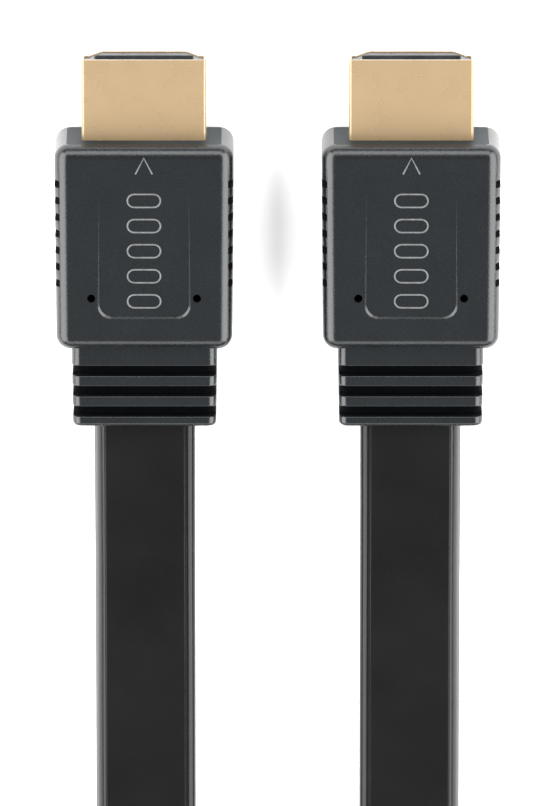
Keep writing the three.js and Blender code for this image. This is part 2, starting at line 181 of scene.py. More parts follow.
def colour_property(name, description, default):
    return bpy.props.FloatVectorProperty(
        name=name, description=description, default=default, size=3, min=0.0, max=1.0, subtype="COLOR"
    )


class PlugSizes(bpy.types.PropertyGroup):
    """Sizes of one moulded plug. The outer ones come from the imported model."""

    body_height: length_property("Body height", "Thickness of the grip body", 0.0108)
    body_length: length_property("Body length", "Grip body, from its front face to its rear face", 0.0235)
    body_corner: length_property("Body corner", "Radius of the body's corners, seen from above", 0.0016)
    body_edge: length_property("Body edge", "Radius along the body's upper and lower edges", 0.00155)
    body_taper: length_property("Body taper", "How much narrower the body is at its rear", 0.0003)
    relief_height: length_property("Relief height", "Thickness of the ribbed strain relief", 0.0074)
    relief_front_width: length_property("Relief front width", "Width of the relief at the body", 0.0163)
    relief_end_width: length_property("Relief end width", "Width of the last rib", 0.0161)
    relief_collar: length_property("Relief collar", "Plain stretch in front of the first slot", 0.00215)
    slot_width: length_property("Slot width", "Width of each slot of the strain relief", 0.00116)
    slot_depth: length_property("Slot depth", "Depth of each slot of the strain relief", 0.00155)
    slot_count: bpy.props.IntProperty(
        name="Slots", description="Slots on each face of the relief", default=3, min=1
    )
    grip_count: bpy.props.IntProperty(
        name="Notches", description="Grip notches on each side", default=7, min=1
    )
    grip_pitch: length_property("Notch pitch", "From one grip notch to the next", 0.0019)
    grip_first_y: length_property("First notch", "Place of the foremost grip notch along Y", 0.00737)
    grip_width: length_property("Notch width", "Width of each grip notch along Y", 0.00084)
    grip_depth: length_property("Notch depth", "Depth of each grip notch from the side", 0.0006)
    grip_web: length_property("Notch web", "Full-width band left at mid height", 0.0016)
    panel_width: length_property("Panel width", "Width of the sunk thumb panel", 0.01)
    panel_corner: length_property("Panel corner", "Radius of the panel's rear corners", 0.0015)
    panel_depth: length_property("Panel depth", "Depth of the panel at its rear end", 0.0002)
    pin_hole: length_property("Pin hole", "Diameter of the two moulding-pin holes", 0.00094)
    shell_cheek: length_property("Shell cheek", "Height of the shell's upright sides", 0.0023)
    shell_ledge: length_property("Shell ledge", "How far the sides step in under the cheeks", 0.0007)
    shell_foot: length_property("Shell foot", "Width of the shell's narrow side", 0.0097)
    shell_corner: length_property("Shell corner", "Bend radius of the shell", 0.00033)
    shell_wall: length_property("Shell wall", "Thickness of the shell's sheet metal", 0.0003)


class CordSizes(bpy.types.PropertyGroup):
    """Sizes of the flat cord and of the hank."""

    width: length_property("Cord width", "Width of the flat cord", 0.0113)
    thickness: length_property("Cord thickness", "Thickness of the flat cord", 0.0038)
    corner: length_property("Cord corner", "Radius of the four long edges of the cord", 0.001)
    dome: length_property("Cord dome", "How much the flat sides bulge", 0.0001)
    length: length_property("Cord length", "Length of the cord from plug to plug", 1.5)
    pitch: length_property("Turn pitch", "From one turn of the hank to the next", 0.0041)
    bend: length_property("Hank bend", "Bend radius of the innermost fold", 0.034)
    near_y: bpy.props.FloatProperty(
        name="Near fold", description="Where the near fold meets the runs", default=-0.147, unit="LENGTH"
    )
    run: length_property("Hank run", "Length of the straight runs", 0.1055)
    turns: bpy.props.IntProperty(name="Turns", description="Turns in the hank", default=3, min=1)
    lift: length_property("Strap lift", "How far the runs rise over the strap under them", 0.0013)
    lift_reach: length_property("Lift reach", "How far from the strap the runs begin to rise", 0.04)


class Finishes(bpy.types.PropertyGroup):
    """Colours of the cable's materials."""

    overmould: colour_property("Overmould", "Spark-eroded black plastic", (0.0022, 0.0034, 0.0042))
    # The raised lines' colour is a painted highlight, far paler than the plastic they are moulded in.
    ridge_painted_highlight: colour_property("Raised lines", "Polished tops of the raised lines", (0.08, 0.082, 0.084))
    shell: colour_property("Shell", "Pale gold plate of the shell", (0.255, 0.182, 0.103))
    insulator: colour_property("Insulator", "Black moulded carrier inside the shell", (0.02, 0.021, 0.024))
    contact: colour_property("Contacts", "Bright gold plate of the contacts", (0.93, 0.65, 0.26))
    jacket: colour_property("Jacket", "Black jacket of the cord", (0.0035, 0.0035, 0.0036))
    strap: colour_property("Strap", "Black hook-and-loop tape", (0.012, 0.012, 0.014))
    floor: colour_property("Floor", "Pale floor", (0.9, 0.9, 0.9))


# Selection and modelling helpers


def deselect():
    if bpy.context.object and bpy.context.object.mode != "OBJECT":
        bpy.ops.object.mode_set(mode="OBJECT")
    bpy.ops.object.select_all(action="DESELECT")


def activate(piece):
    deselect()
    piece.select_set(True)
    bpy.context.view_layer.objects.active = piece


def settle(piece, name):
    """Names a piece and moves its place into its mesh."""
    piece.name = name
    piece.data.name = name
    activate(piece)
    bpy.ops.object.transform_apply(location=True, rotation=True, scale=True)
    return piece


def add_block(name, low, high):
    """A box from its lowest to its highest corner."""
    low, high = Vector(low), Vector(high)
    deselect()
    bpy.ops.mesh.primitive_cube_add(size=1, location=(low + high) / 2, scale=high - low)
    return settle(bpy.context.object, name)


def select_edges(piece, chosen):
    """Opens a piece in edit mode, with those edges selected for whose two ends chosen is true."""
    activate(piece)
    bpy.ops.object.mode_set(mode="EDIT")
    bpy.ops.mesh.select_mode(type="EDGE")
    bpy.ops.mesh.select_all(action="DESELECT")
    shape = bmesh.from_edit_mesh(piece.data)
    for edge in shape.edges:
        if chosen(edge.verts[0].co, edge.verts[1].co):
            edge.select_set(True)
    bmesh.update_edit_mesh(piece.data)


def bevel_edges(piece, chosen, width, segments):
    select_edges(piece, chosen)
    bpy.ops.mesh.bevel(offset=width, offset_type="OFFSET", segments=segments, profile=0.5, affect="EDGES")
    bpy.ops.object.mode_set(mode="OBJECT")


def along(axis):
    """Chooses the edges that run along an axis."""

    def chosen(a, b):
        line = (b - a).normalized()
        return abs(line[axis]) > 0.99

    return chosen


def at_end(piece, axis, end):
    """Chooses the edges around the end face of a piece, where end is min or max."""
    place = end(v.co[axis] for v in piece.data.vertices)
    return lambda a, b: abs(a[axis] - place) < 1e-7 and abs(b[axis] - place) < 1e-7


def rounded_block(name, low, high, axis, corner, edge, segments, edge_segments=3):
    """A box with its edges along axis rounded by corner, and those of its end faces by edge."""
    piece = add_block(name, low, high)
    bevel_edges(piece, along(axis), corner, segments)
    for end in (min, max):
        if edge > 0:
            bevel_edges(piece, at_end(piece, axis, end), edge, edge_segments)
    return piece


def modify(piece, kind, **settings):
    """Adds a modifier, sets it and applies it."""
    activate(piece)
    modifier = piece.modifiers.new(kind.title(), kind)
    for key, value in settings.items():
        setattr(modifier, key, value)
    bpy.ops.object.modifier_apply(modifier=modifier.name)
    return piece


def combine(piece, other, operation):
    """Cuts other out of piece, or unites the two, and removes other."""
    modify(piece, "BOOLEAN", object=other, operation=operation, solver="EXACT")
    bpy.data.objects.remove(other)
    if not piece.data.polygons:
        raise RuntimeError(f"nothing is left of {piece.name}")
    return piece


def join(pieces, name):
    activate(pieces[0])
    for piece in pieces[1:]:
        piece.select_set(True)
    bpy.ops.object.join()
    return settle(bpy.context.object, name)


def smooth(piece, angle=math.radians(32)):
    activate(piece)
    bpy.ops.object.shade_smooth_by_angle(angle=angle)
    return piece


def dress(piece, finish, nodes=()):
    """Gives a finished piece its material and its body, and hides the CAD nodes that it stands for."""
    piece.data.materials.clear()
    piece.data.materials.append(finish)
    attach(piece, "root")
    if nodes:
        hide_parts(*nodes)
    return piece


# Materials


class Finish:
    """A new material with its node tree open."""

    def __init__(self, name, colour, roughness, metallic=0.0):
        self.material = bpy.data.materials.new(name)
        self.material.use_nodes = True
        self.tree = self.material.node_tree
        self.shader = self.tree.nodes["Principled BSDF"]
        self.set("Base Color", (*colour, 1.0))
        self.set("Roughness", roughness)
        self.set("Metallic", metallic)

    def set(self, socket, value):
        self.shader.inputs[socket].default_value = value

    def node(self, kind, **values):
        made = self.tree.nodes.new(kind)
        for key, value in values.items():
            if key in made.inputs:
                made.inputs[key].default_value = value
            else:
                setattr(made, key, value)
        return made

    def link(self, source, target):
        self.tree.links.new(source, target)

    def place(self, scale=(1, 1, 1), output="Object"):
        coordinates = self.node("ShaderNodeTexCoord")
        mapping = self.node("ShaderNodeMapping", Scale=scale)
        self.link(coordinates.outputs[output], mapping.inputs["Vector"])
        return mapping.outputs["Vector"]

    def noise(self, vector, scale, detail=2.0, roughness=0.5):
        texture = self.node("ShaderNodeTexNoise", Scale=scale, Detail=detail, Roughness=roughness)
        self.link(vector, texture.inputs["Vector"])
        return texture.outputs["Fac"]

    def mixed(self, factor, low, high, target):
        """Runs a colour socket from low to high as factor goes from 0.3 to 0.7."""
        ramp = self.node("ShaderNodeValToRGB")
        ramp.color_ramp.elements[0].position = 0.3
        ramp.color_ramp.elements[1].position = 0.7
        ramp.color_ramp.elements[0].color = (*low, 1.0)
        ramp.color_ramp.elements[1].color = (*high, 1.0)
        self.link(factor, ramp.inputs["Fac"])
        self.link(ramp.outputs["Color"], self.shader.inputs[target])

    def ranged(self, factor, low, high, target):
        """Runs a number socket from low to high as factor goes from 0.25 to 0.75."""
        limits = {"From Min": 0.25, "From Max": 0.75, "To Min": low, "To Max": high}
        spread = self.node("ShaderNodeMapRange", **limits)
        self.link(factor, spread.inputs["Value"])
        self.link(spread.outputs["Result"], self.shader.inputs[target])

    def bump(self, heights):
        """Stacks bumps, each a height, a strength and a distance in metres."""
        normal = None
        for height, strength, distance in heights:
            bump = self.node("ShaderNodeBump", Strength=strength, Distance=distance)
            self.link(height, bump.inputs["Height"])
            if normal:
                self.link(normal, bump.inputs["Normal"])
            normal = bump.outputs["Normal"]
        self.link(normal, self.shader.inputs["Normal"])


def shade(colour, factor):
    return tuple(min(1.0, part * factor) for part in colour)


def finish_overmould(colour):
    """Black plastic from a spark-eroded mould: fine even grain with a soft sheen."""
    finish = Finish("overmould_plastic", colour, 0.25)
    vector = finish.place()
    grain = finish.noise(vector, 6500, 2, 0.6)
    pores = finish.noise(vector, 13000, 1, 0.5)
    patches = finish.noise(vector, 260, 3, 0.5)
    finish.set("Specular IOR Level", 0.5)
    finish.mixed(patches, shade(colour, 0.88), shade(colour, 1.14), "Base Color")
    finish.ranged(grain, 0.2, 0.3, "Roughness")
    finish.bump([(grain, 0.5, 0.00002), (pores, 0.3, 0.00001)])
    return finish.material


def finish_recess(colour):
    """The same plastic at the bottom of slots and holes, left dull by the mould, and darkened to a third as
    painted shade.
    """
    finish = Finish("recess_plastic", shade(colour, 0.3), 0.85)
    vector = finish.place()
    finish.set("Specular IOR Level", 0.05)
    finish.mixed(finish.noise(vector, 2200, 3), shade(colour, 0.15), shade(colour, 0.45), "Base Color")
    finish.bump([(finish.noise(vector, 7500, 2), 0.4, 0.00003)])
    return finish.material


def finish_stop_face_painted_light(colour):
    """The flat front of the body, grained more coarsely and duller than the rest, and coloured five times
    paler as painted light on the face turned to the front.
    """
    finish = Finish("stop_face_painted_light_plastic", shade(colour, 5.0), 0.5)
    vector = finish.place()
    finish.set("Specular IOR Level", 0.13)
    finish.mixed(finish.noise(vector, 300, 3), shade(colour, 4.0), shade(colour, 6.0), "Base Color")
    finish.bump([(finish.noise(vector, 5500, 2, 0.6), 0.6, 0.00003)])
    return finish.material


def finish_ridge_painted_highlight(colour):
    """The raised lines, with polished tops, coloured far paler than the grained face as a painted highlight.
    """
    finish = Finish("ridge_painted_highlight_plastic", colour, 0.4)
    vector = finish.place()
    finish.set("Specular IOR Level", 0.25)
    # Patches where the painted highlight on the raised lines is stronger or weaker.
    highlight_patches = finish.noise(vector, 1800, 3, 0.6)
    finish.mixed(highlight_patches, shade(colour, 0.75), shade(colour, 1.25), "Base Color")
    finish.bump([(finish.noise(vector, 9000, 1), 0.2, 0.00001)])
    return finish.material


def finish_shell(colour):
    """Pale gold plate on rolled sheet, drawn lengthwise."""
    finish = Finish("gold_plate", colour, 0.28, 0.45)
    drawn = finish.noise(finish.place((1, 0.04, 1)), 9000, 2)
    clouds = finish.noise(finish.place(), 380, 3)
    finish.mixed(clouds, shade(colour, 0.985), shade(colour, 1.015), "Base Color")
    finish.ranged(clouds, 0.26, 0.3, "Roughness")
    finish.bump([(drawn, 0.05, 0.00001)])
    return finish.material


def finish_insulator(colour):
    """Glossy black carrier plastic."""
    finish = Finish("carrier_plastic", colour, 0.3)
    vector = finish.place()
    finish.set("Specular IOR Level", 0.2)
    finish.mixed(finish.noise(vector, 700, 2), shade(colour, 0.85), shade(colour, 1.2), "Base Color")
    finish.ranged(finish.noise(vector, 2500, 2), 0.24, 0.38, "Roughness")
    finish.bump([(finish.noise(vector, 6000, 2), 0.15, 0.00001)])
    return finish.material


def finish_contact(colour):
    """Bright gold plate, wiped lengthwise by use."""
    finish = Finish("contact_plate", colour, 0.2, 1.0)
    wipes = finish.noise(finish.place((1, 0.05, 1)), 14000, 2)
    finish.ranged(wipes, 0.14, 0.3, "Roughness")
    finish.mixed(wipes, shade(colour, 0.9), shade(colour, 1.05), "Base Color")
    finish.bump([(wipes, 0.1, 0.000005)])
    return finish.material


def finish_jacket(colour):
    """Satin black jacket with fine draw lines from the extruder, along the cord's own length."""
    finish = Finish("cord_jacket", colour, 0.2)
    lines = finish.noise(finish.place((1, 0.01, 1), "UV"), 4000, 2)
    surface = finish.noise(finish.place(), 3000, 3)
    tone = finish.noise(finish.place(), 120, 3)
    finish.mixed(tone, shade(colour, 0.85), shade(colour, 1.2), "Base Color")
    finish.set("Specular IOR Level", 0.2)
    finish.ranged(surface, 0.18, 0.24, "Roughness")
    finish.bump([(lines, 0.1, 0.000004), (surface, 0.04, 0.00001)])
    return finish.material


def finish_strap(colour):
    """Black hook-and-loop tape: short matted loops over a ribbed ground."""
    finish = Finish("strap_cloth", colour, 0.95)
    vector = finish.place()
    loops = finish.node("ShaderNodeTexVoronoi", Scale=2600.0)
    finish.link(vector, loops.inputs["Vector"])
    fuzz = finish.noise(vector, 5200, 3, 0.7)
    finish.mixed(fuzz, shade(colour, 0.6), shade(colour, 2.2), "Base Color")
    finish.set("Sheen Weight", 0.35)
    finish.set("Sheen Roughness", 0.5)
    finish.bump([(loops.outputs["Distance"], 0.8, 0.00025), (fuzz, 0.6, 0.0001)])
    return finish.material


def finish_floor(colour):
    """Pale seamless floor with the faintest grain."""
    finish = Finish("pale_floor", colour, 0.7)
    grain = finish.noise(finish.place(), 400, 2)
    finish.mixed(grain, shade(colour, 0.985), colour, "Base Color")
    finish.bump([(grain, 0.02, 0.0001)])
    finish.set("Specular IOR Level", 0.2)
    return finish.material


# The plugs

# In this list, the finish for slots, notches and holes is darkened as painted shade.
# In this list, the front face's finish is paler as painted light.
# In this list, the raised lines' finish is pale as a painted highlight.
GRIP_FINISHES = ["overmould", "ridge_painted_highlight", "recess", "stop_face_painted_light"]


class Plug:
    """Places on one plug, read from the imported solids."""

    def __init__(self, side, sizes):
        low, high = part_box(f"{side}_plug_overmould")
        shell_low, shell_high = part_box(f"{side}_plug_shell")
        self.side = side
        self.sizes = sizes
        self.x = (low.x + high.x) / 2
        self.half = (high.x - low.x) / 2
        self.front = high.y
        self.rear = high.y - sizes.body_length
        self.end = low.y
        self.top = high.z
        self.middle = (low.z + high.z) / 2
        self.mouth = shell_high.y
        self.pocket = shell_low.y
        self.shell_half = (shell_high.x - shell_low.x) / 2
        self.shell_low = shell_low.z
        self.shell_high = shell_high.z

    def panel_rear(self):
        return self.rear + PANEL_BEHIND

    def panel_front(self):
        return self.front - PANEL_BEFORE


def d_prism(name, plug, rear, front, grow):
    """The D of the shell, from rear to front along Y, with every side moved out by grow."""
    sizes = plug.sizes
    cheek_foot = plug.shell_high - sizes.shell_cheek
    half = plug.shell_half
    top = add_block(
        name,
        (plug.x - half - grow, rear, cheek_foot - grow),
        (plug.x + half + grow, front, plug.shell_high + grow),
    )
    drop = cheek_foot - plug.shell_low
    upper = half - sizes.shell_ledge
    lower = sizes.shell_foot / 2
    slope = (upper - lower) / drop
    lean = grow * math.hypot(1, slope)
    low = plug.shell_low - grow
    head = cheek_foot + 0.0002 - min(grow, 0)
    wide = upper + lean + slope * (head - cheek_foot)
    narrow = lower + lean - slope * grow
    foot = add_block("foot", (plug.x - wide, rear, low), (plug.x + wide, front, head))
    select_edges(foot, lambda a, b: max(a.z, b.z) < low + 1e-6)
    bpy.ops.transform.resize(value=(narrow / wide, 1, 1), center_override=(plug.x, rear, low))
    bpy.ops.object.mode_set(mode="OBJECT")
    combine(top, foot, "UNION")
    bevel_edges(top, sharp_lines(top, 1), max(0.0001, sizes.shell_corner + min(grow, 0)), 6)
    return top


def sharp_lines(piece, axis):
    """Chooses the edges along an axis where two faces meet at an angle."""
    shape = bmesh.new()
    shape.from_mesh(piece.data)
    found = set()
    for edge in shape.edges:
        a, b = edge.verts[0].co, edge.verts[1].co
        if abs((b - a).normalized()[axis]) > 0.99 and edge.calc_face_angle(0) > 0.1:
            found.add(frozenset((tuple(a), tuple(b))))
    shape.free()
    return lambda a, b: frozenset((tuple(a), tuple(b))) in found


def raised_line(name, points, closed, radius):
    """A half-sunk round wire along points, as a raised line of the moulding."""
    curve = bpy.data.curves.new(name, "CURVE")
    curve.dimensions = "3D"
    curve.bevel_depth = radius
    curve.bevel_resolution = 2
    curve.use_fill_caps = True
    spline = curve.splines.new("POLY")
    spline.points.add(len(points) - 1)
    for target, point in zip(spline.points, points, strict=True):
        target.co = (*point, 1.0)
    spline.use_cyclic_u = closed
    wire = bpy.data.objects.new(name, curve)
    bpy.context.scene.collection.objects.link(wire)
    activate(wire)
    bpy.ops.object.convert(target="MESH")
    return bpy.context.object


def panel_cutter(plug):
    """A wedge with drafted sides, whose floor slopes down from the front of the panel to its rear."""
    sizes = plug.sizes
    rear, front = plug.panel_rear(), plug.panel_front()
    half = sizes.panel_width / 2
    middle = (plug.x, front, plug.top)
    high = plug.top + PANEL_RISE
    cutter = add_block("panel_cutter", (plug.x - half, rear, plug.top), (plug.x + half, front, high))
    bevel_edges(cutter, lambda a, b: along(2)(a, b) and abs(a.y - rear) < 1e-7, sizes.panel_corner, 10)
    select_edges(cutter, lambda a, b: min(a.z, b.z) > plug.top + PANEL_RISE / 2)
    draft = (1 + PANEL_RISE / half, 1 + PANEL_RISE / (front - rear), 1)
    bpy.ops.transform.resize(value=draft, center_override=middle)
    bpy.ops.object.mode_set(mode="OBJECT")
    select_edges(cutter, lambda a, b: True)
    tilt = math.atan2(sizes.panel_depth, front - rear)
    bpy.ops.transform.rotate(value=-tilt, orient_axis="X", center_override=middle)
    bpy.ops.object.mode_set(mode="OBJECT")
    return cutter


def model_relief(plug):
    """The strain relief: a plain collar and three ribs around a flat core."""
    sizes = plug.sizes
    length = plug.rear - plug.end
    rib = (length - sizes.relief_collar) / sizes.slot_count - sizes.slot_width
    low = plug.middle - sizes.relief_height / 2
    high = plug.middle + sizes.relief_height / 2
    parts = []

    def half_width(y):
        share = (plug.rear - y) / length
        return (sizes.relief_front_width * (1 - share) + sizes.relief_end_width * share) / 2

    spans = [(plug.rear - sizes.relief_collar, plug.rear + RELIEF_SINK)]
    spans.extend((rear - rib, rear) for rear, front in slot_spans(plug))
    for number, (rear, front) in enumerate(spans):
        half = half_width((rear + front) / 2)
        name = f"relief_rib_{number}"
        part = add_block(name, (plug.x - half, rear, low), (plug.x + half, front, high))
        bevel_edges(part, along(1), RELIEF_CORNER, 8)
        last = number == len(spans) - 1
        bevel_edges(part, at_end(part, 1, min), LAST_RIB_EDGE if last else RIB_EDGE, 5 if last else 3)
        if number > 0:
            bevel_edges(part, at_end(part, 1, max), RIB_EDGE, 3)
        parts.append(part)
    core_half = sizes.relief_end_width / 2 - CORE_INSET
    core_low = low + sizes.slot_depth
    core_high = high - sizes.slot_depth
    core = add_block(
        "relief_core",
        (plug.x - core_half, plug.end + rib / 2, core_low),
        (plug.x + core_half, plug.rear + RELIEF_SINK, core_high),
    )
    bevel_edges(core, along(1), CORE_CORNER, 6)
    return [core, *parts]


def model_overmould(plug, finishes):
    """The grip body and its strain relief, moulded in one. The finishes are those of GRIP_FINISHES."""
    sizes = plug.sizes
    body = rounded_block(
        "body",
        (plug.x - plug.half, plug.rear, plug.top - sizes.body_height),
        (plug.x + plug.half, plug.front, plug.top),
        2, sizes.body_corner, sizes.body_edge, 10, 10,
    )
    select_edges(body, lambda a, b: max(a.y, b.y) < 0)
    taper = 1 - sizes.body_taper / (2 * plug.half)
    bpy.ops.transform.resize(value=(taper, 1, 1), center_override=(plug.x, 0, 0))
    bpy.ops.object.mode_set(mode="OBJECT")
    for part in model_relief(plug):
        combine(body, part, "UNION")

    cutters = [d_prism("pocket", plug, plug.pocket, plug.front + 2 * PAST, GAP)]
    inner = plug.half - sizes.grip_depth
    outer = plug.half + PAST
    for i in range(sizes.grip_count):
        y0 = sizes.grip_first_y - i * sizes.grip_pitch - sizes.grip_width / 2
        y1 = y0 + sizes.grip_width
        for x0, x1 in ((inner, outer), (-outer, -inner)):
            for z0, z1 in ((sizes.grip_web / 2, NOTCH_REACH), (-NOTCH_REACH, -sizes.grip_web / 2)):
                cutters.append(
                    rounded_block(
                        "notch",
                        (plug.x + x0, y0, plug.middle + z0),
                        (plug.x + x1, y1, plug.middle + z1),
                        2, NOTCH_CORNER, 0.0, 3,
                    )
                )
    for x in (-PIN_HOLE_X, PIN_HOLE_X):
        place = (plug.x + x, PIN_HOLE_Y, plug.top)
        deselect()
        bpy.ops.mesh.primitive_cylinder_add(
            vertices=32, radius=sizes.pin_hole / 2, depth=PIN_HOLE_REACH, location=place
        )
        cutters.append(settle(bpy.context.object, "pin_hole"))
    cord = bpy.context.scene.cord_sizes
    socket_x = cord.width / 2 + GAP
    socket_z = cord.thickness / 2 + GAP
    cutters.append(
        rounded_block(
            "socket",
            (plug.x - socket_x, plug.end - PAST, plug.middle - socket_z),
            (plug.x + socket_x, plug.end + 0.0009, plug.middle + socket_z),
            1, cord.corner + GAP, 0.0, 8,
        )
    )
    combine(body, join(cutters, "cutters"), "DIFFERENCE")
    combine(body, panel_cutter(plug), "DIFFERENCE")
    modify(body, "BEVEL", width=0.00005, segments=2, limit_method="ANGLE", angle_limit=math.radians(50))
    smooth(body)
    lines = raised_lines(plug)
    for line in lines:
        smooth(line, math.pi)
    # The raised lines take the pale finish, a painted highlight on them.
    for piece in (body, *lines):
        piece.data.materials.clear()
        for finish in finishes:
            piece.data.materials.append(finish)
        for face in piece.data.polygons:
            face.material_index = 0 if piece is body else GRIP_FINISHES.index("ridge_painted_highlight")
    # Faces in slots, grip notches and pin holes take the darkened plastic, painted shade.
    for face in body.data.polygons:
        if in_recess(plug, face):
            face.material_index = GRIP_FINISHES.index("recess")
        # The front face takes the paler plastic, painted light.
        elif face.normal.y > 0.95 and face.center.y > plug.front - 0.00001:
            face.material_index = GRIP_FINISHES.index("stop_face_painted_light")
    grip = join([body, *lines], f"{plug.side}_plug_grip")
    return modify(grip, "WEIGHTED_NORMAL", keep_sharp=True, weight=60)


def slot_spans(plug):
    """Rear and front of each slot of the strain relief."""
    sizes = plug.sizes
    length = plug.rear - plug.end
    step = (length - sizes.relief_collar) / sizes.slot_count
    fronts = [plug.rear - sizes.relief_collar - i * step for i in range(sizes.slot_count)]
    return [(front - sizes.slot_width, front) for front in fronts]


def in_recess(plug, face):
    """Whether a face lies inside a slot, a grip notch or a pin hole."""
    sizes = plug.sizes
    x, y, z = face.center
    x, z = abs(x - plug.x), abs(z - plug.middle)
    hair = 0.00001
    if y < plug.rear:
        inside = z < sizes.relief_height / 2 - 2 * hair
        return inside and any(rear - hair < y < front + hair for rear, front in slot_spans(plug))
    if math.hypot(x - PIN_HOLE_X, y - PIN_HOLE_Y) < sizes.pin_hole / 2 + hair:
        return z < sizes.body_height / 2 - 6 * hair
    if x < plug.half - sizes.grip_depth - hair or x > plug.half - 0.0001 or abs(face.normal.z) > 0.7:
        return False
    first = sizes.grip_first_y
    notch = round((first - y) / sizes.grip_pitch)
    near = abs(y - (first - notch * sizes.grip_pitch)) < sizes.grip_width / 2 + hair
    return near and 0 <= notch < sizes.grip_count


def raised_lines(plug):
    """The insertion arrow, and a column of plain rounded bars on the thumb panel."""
    arrow = [(-ARROW_HALF_WIDTH, ARROW_REAR), (0, ARROW_TIP), (ARROW_HALF_WIDTH, ARROW_REAR)]
    lines = [raised_line("arrow", [(plug.x + x, y, plug.top) for x, y in arrow], False, LINE_RADIUS)]
    slope = plug.sizes.panel_depth / (plug.panel_front() - plug.panel_rear())
    for i in range(BAR_COUNT):
        middle = BAR_FIRST_Y - i * BAR_PITCH
        points = []
        for sign in (1, -1):
            for step in range(9):
                angle = -math.pi / 2 + step * math.pi / 8
                reach = BAR_HALF_WIDTH - BAR_HALF_HEIGHT + BAR_HALF_HEIGHT * math.cos(angle)
                y = middle + sign * BAR_HALF_HEIGHT * math.sin(angle)
                z = plug.top - max(0.0, (plug.panel_front() - y) * slope)
                points.append((plug.x + sign * reach, y, z))
        lines.append(raised_line(f"bar_{i}", points, True, LINE_RADIUS))
    return lines


def model_shell(plug):
    """The D-shaped sheet tube, with a butt seam along its narrow side."""
    sizes = plug.sizes
    shell = d_prism("shell", plug, plug.pocket, plug.mouth, 0.0)
    bore = d_prism("bore", plug, plug.pocket - PAST, plug.mouth + PAST, -sizes.shell_wall)
    combine(shell, bore, "DIFFERENCE")
    seam = add_block(
        "seam",
        (plug.x - SEAM_HALF_WIDTH, plug.pocket - PAST, plug.shell_low - PAST),
        (plug.x + SEAM_HALF_WIDTH, plug.mouth + PAST, plug.shell_low + SEAM_DEPTH),
    )
    combine(shell, seam, "DIFFERENCE")
    modify(shell, "BEVEL", width=0.00007, segments=3, limit_method="ANGLE", angle_limit=math.radians(50))
    smooth(shell)
    return settle(shell, f"{plug.side}_plug_sheet_shell")


def model_insulator(plug):
    """The carrier inside the shell, with the slot for the tongue."""
    low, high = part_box(f"{plug.side}_plug_insulator")
    block = d_prism("carrier", plug, low.y, high.y, -plug.sizes.shell_wall - CARRIER_GAP)
    middle = plug.middle + TONGUE_SLOT_RISE
    rear = high.y - TONGUE_SLOT_LENGTH
    slot = rounded_block(
        "tongue_slot",
        (plug.x - TONGUE_SLOT_HALF_WIDTH, rear, middle - TONGUE_SLOT_HALF_HEIGHT),
        (plug.x + TONGUE_SLOT_HALF_WIDTH, high.y + PAST, middle + TONGUE_SLOT_HALF_HEIGHT),
        1, TONGUE_SLOT_CORNER, 0.0, 4,
    )
    combine(block, slot, "DIFFERENCE")
    modify(block, "BEVEL", width=0.00008, segments=2, limit_method="ANGLE", angle_limit=math.radians(50))
    smooth(block)
    return settle(block, f"{plug.side}_plug_carrier")


# The cord


def through(points, steps):
    """A smooth line through points, as rows of the same numbers, with steps between each two."""
    points = np.array(points, float)
    padded = np.vstack([2 * points[0] - points[1], points, 2 * points[-1] - points[-2]])
    rows = []
    for i in range(len(points) - 1):
        a, b, c, d = padded[i:i + 4]
        for k in range(steps):
            t = k / steps
            square = (2 * a - 5 * b + 4 * c - d) * t * t
            cube = (3 * b - a - 3 * c + d) * t**3
            rows.append(0.5 * (2 * b + (c - a) * t + square + cube))
    rows.append(points[-1])
    return np.array(rows)


def hank_rows(sizes):
    """The turns of the hank from where the left lead comes on to where the right one leaves, by a loop."""
    near, far = sizes.near_y, sizes.near_y - sizes.run
    shift = sizes.pitch / 2
    strap = near - sizes.run / 2
    height = sizes.width / 2
    tail = RIGHT_LEAD[-1][1]
    rows = []

    def lift(y):
        share = min(abs(y - strap) / sizes.lift_reach, 1)
        return sizes.lift * math.cos(share * math.pi / 2) ** 2

    def straight(x, start, end):
        count = max(2, round(abs(end - start) / RUN_STEP))
        for k in range(count):
            y = start + (end - start) * k / count
            rows.append((x, y, height + lift(y), 90))

    def fold(middle_x, middle_y, radius, start):
        for k in range(FOLD_STEPS):
            angle = start + math.pi * k / FOLD_STEPS
            x, y = middle_x + radius * math.cos(angle), middle_y + radius * math.sin(angle)
            rows.append((x, y, height, 90))

    for turn in range(sizes.turns):
        radius = sizes.bend + (sizes.turns - 1 - turn) * sizes.pitch
        straight(-radius, near, far)
        fold(0, far, radius, math.pi)
        if turn < sizes.turns - 1:
            straight(radius, far, near)
            fold(shift, near, radius - shift, 0)
        else:
            straight(radius, far, tail)
    return np.array(rows)


def cord_section(sizes):
    """Around the flat cord: rounded long edges, a faint groove beside each, and slightly domed sides."""
    radius = sizes.corner
    reach = sizes.width / 2 - radius
    edge = sizes.thickness / 2 - sizes.dome
    across = [reach * (k / 12 - 1) for k in range(25)]
    for offset in (0.00006, 0.00012, 0.0002, 0.0003):
        across.extend((offset - reach, reach - offset))
    top = []
    for u in sorted(set(across))[1:-1]:
        groove = GROOVE_DEPTH * math.exp(-(((abs(u) - reach + GROOVE_INSET) / GROOVE_WIDTH) ** 2))
        top.append((u, sizes.thickness / 2 - sizes.dome * (abs(u) / reach) ** 3 - groove))
    side = []
    for k in range(9):
        angle = math.pi / 2 - math.pi / 2 * k / 8
        side.append((reach + radius * math.cos(angle), edge - radius + radius * math.sin(angle)))
    half = top + side
    return half + [(-u, -w) for u, w in half]


